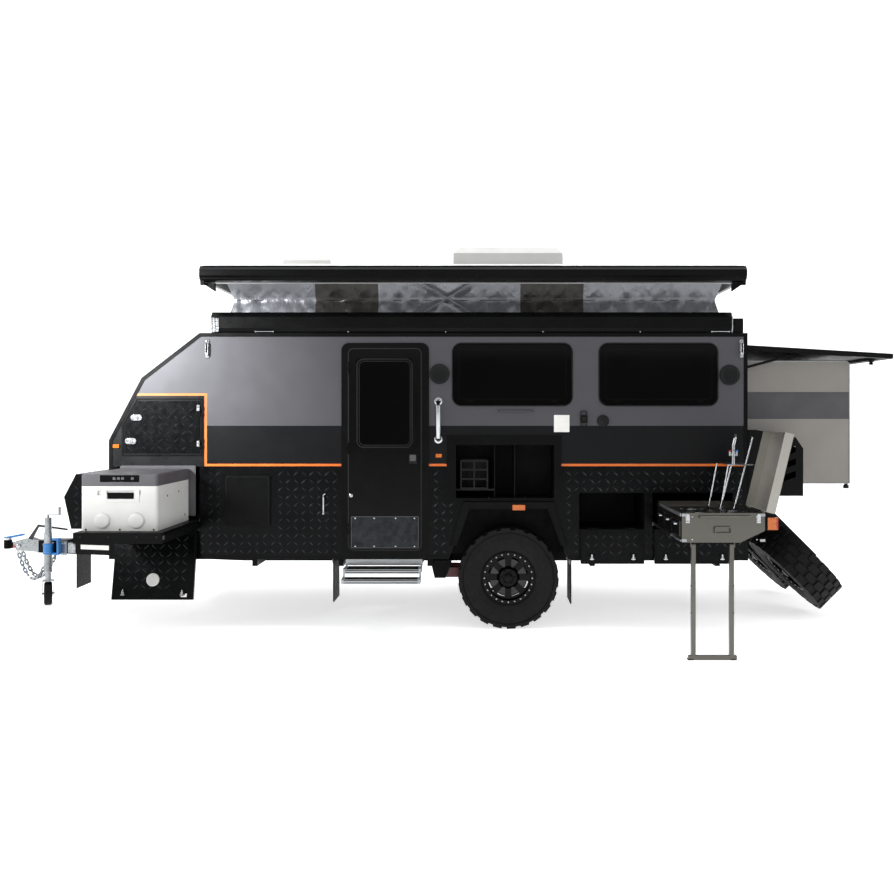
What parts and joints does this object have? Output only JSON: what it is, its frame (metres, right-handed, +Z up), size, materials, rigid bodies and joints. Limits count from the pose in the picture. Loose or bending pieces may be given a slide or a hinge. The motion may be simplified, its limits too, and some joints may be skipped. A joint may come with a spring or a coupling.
{
  "type": "hybrid caravan",
  "caption": "Off-road hybrid caravan parked with its roof lifted, rear bed pod, fridge slide and side kitchen out, its locker doors hanging open and spare wheels at the rear",
  "frame": {"origin": "centre of the towing pin's bore in the coupling, 519 mm above the ground", "axes": "X back along the trailer, Y from the near side with the door to the far side, Z up"},
  "size_m": [7.7448, 3.272, 3.189],
  "materials": {
    "black_frame": "satin black powder coat",
    "galvanised": "bright galvanised steel",
    "silver_panel": "silver-grey composite panel",
    "checker_plate": "dark five-bar checker plate",
    "black_trim": "black extrusion",
    "stainless": "brushed stainless steel",
    "white_gloss": "white moulded plastic",
    "dark_plastic": "dark grey moulded plastic",
    "black_gloss": "smoked acrylic",
    "window_glass": "black tinted acrylic",
    "tyre": "black rubber",
    "rubber": "black rubber sheet",
    "black_rim": "black painted steel rim",
    "blue_steel": "blue painted steel",
    "chrome": "bright zinc",
    "grey_fabric": "coated tent fabric",
    "lining": "mill aluminium lining",
    "lens": "amber and red lenses",
    "dark_red": "dark red suspension paint",
    "pod_shell": "warm light grey panel"
  },
  "bodies": {
    "trailer": {"chassis": "black_frame", "axle_arms": "dark_red", "springs_dampers": "black_frame", "floor": "black_frame", "nose_panels": "silver_panel", "roof_deck": "silver_panel", "rear_wall": "silver_panel", "wall_near": "silver_panel", "wall_far": "silver_panel", "edge_trims": "black_trim", "skirt_plates": "checker_plate", "locker_linings": "lining", "pantry_basket": "black_trim", "wheel_arches": "black_trim", "flaps": "rubber", "nose_box": "checker_plate", "windows": "window_glass", "side_frames": "black_trim", "drop_doors": "checker_plate", "entry_step": "lining", "side_fittings": "chrome", "lamps": "lens", "awning": "black_trim", "coupling": "black_frame", "coupling_levers": "blue_steel", "jockey_tube": "galvanised", "safety_chains": "galvanised", "spare_carriers": "black_frame", "spare_tyres": "tyre", "spare_rims": "black_rim", "can_holder": "black_frame", "rear_hatch": "silver_panel", "kitchen": "stainless", "kitchen_fittings": "stainless", "roof_skirt": "grey_fabric"},
    "wheel_near": {"tyre_near": "tyre", "rim_near": "black_rim"},
    "wheel_far": {"tyre_far": "tyre", "rim_far": "black_rim"},
    "jockey_stem": {"jockey_fork": "galvanised"},
    "jockey_roller": {"jockey_wheel": "tyre"},
    "entry_leaf": {"entry_door": "silver_panel", "entry_door_glass": "black_gloss"},
    "tool_leaf": {"tool_door": "silver_panel"},
    "storage_leaf": {"storage_door": "checker_plate"},
    "lifting_roof": {"roof": "white_gloss", "roof_edge": "black_trim", "roof_units": "white_gloss"},
    "fridge_unit": {"fridge_tray": "galvanised", "fridge": "white_gloss"},
    "fridge_top": {"fridge_lid": "dark_plastic"},
    "kitchen_cover": {"kitchen_lid": "stainless"},
    "kitchen_support": {"kitchen_leg": "stainless"},
    "pod": {"bed_pod": "pod_shell"}
  },
  "joints": [
    {"name": "wheel_near_spin", "type": "hinge", "parent": "trailer", "child": "wheel_near", "pos_m": [4.548, -0.975, -0.117], "axis": [0, 1, 0], "continuous": true},
    {"name": "wheel_far_spin", "type": "hinge", "parent": "trailer", "child": "wheel_far", "pos_m": [4.548, 0.975, -0.117], "axis": [0, 1, 0], "continuous": true},
    {"name": "jockey_swivel", "type": "hinge", "parent": "trailer", "child": "jockey_stem", "pos_m": [0.447, -0.175, -0.204], "axis": [0, 0, 1], "continuous": true},
    {"name": "jockey_roll", "type": "hinge", "parent": "jockey_stem", "child": "jockey_roller", "pos_m": [0.43236, -0.14211, -0.4155], "axis": [0.9135, 0.4067, 0], "continuous": true},
    {"name": "entry_door_swing", "type": "hinge", "parent": "trailer", "child": "entry_leaf", "pos_m": [3.274, -1.138, 0.916], "axis": [0, 0, -1], "range_deg": [0, 165]},
    {"name": "tool_door_swing", "type": "hinge", "parent": "trailer", "child": "tool_leaf", "pos_m": [2.096, -1.132, 1.092], "axis": [0, 0, 1], "range_deg": [0, 110]},
    {"name": "storage_door_drop", "type": "hinge", "parent": "trailer", "child": "storage_leaf", "pos_m": [5.37, -1.128, 0.285], "axis": [1, 0, 0], "range_deg": [-178, 0]},
    {"name": "roof_lift", "type": "slide", "parent": "trailer", "child": "lifting_roof", "axis": [0, 0, 1], "range_m": [-0.205, 0], "deforming": ["roof_skirt"]},
    {"name": "fridge_slide", "type": "slide", "parent": "trailer", "child": "fridge_unit", "axis": [0, -1, 0], "range_m": [-0.87, 0]},
    {"name": "fridge_lid_hinge", "type": "hinge", "parent": "fridge_unit", "child": "fridge_top", "pos_m": [1.456, -1.424, 0.68], "axis": [0, -1, 0], "range_deg": [0, 80]},
    {"name": "kitchen_lid_hinge", "type": "hinge", "parent": "trailer", "child": "kitchen_cover", "pos_m": [6.312, -1.81, 0.508], "axis": [0, 1, 0], "range_deg": [-103.5, 0]},
    {"name": "kitchen_leg_fold", "type": "hinge", "parent": "trailer", "child": "kitchen_support", "pos_m": [5.944, -2.044, 0.281], "axis": [-1, 0, 0], "range_deg": [-90, 0]},
    {"name": "bed_pod_slide", "type": "slide", "parent": "trailer", "child": "pod", "axis": [1, 0, 0], "range_m": [-0.92, 0]}
  ]
}
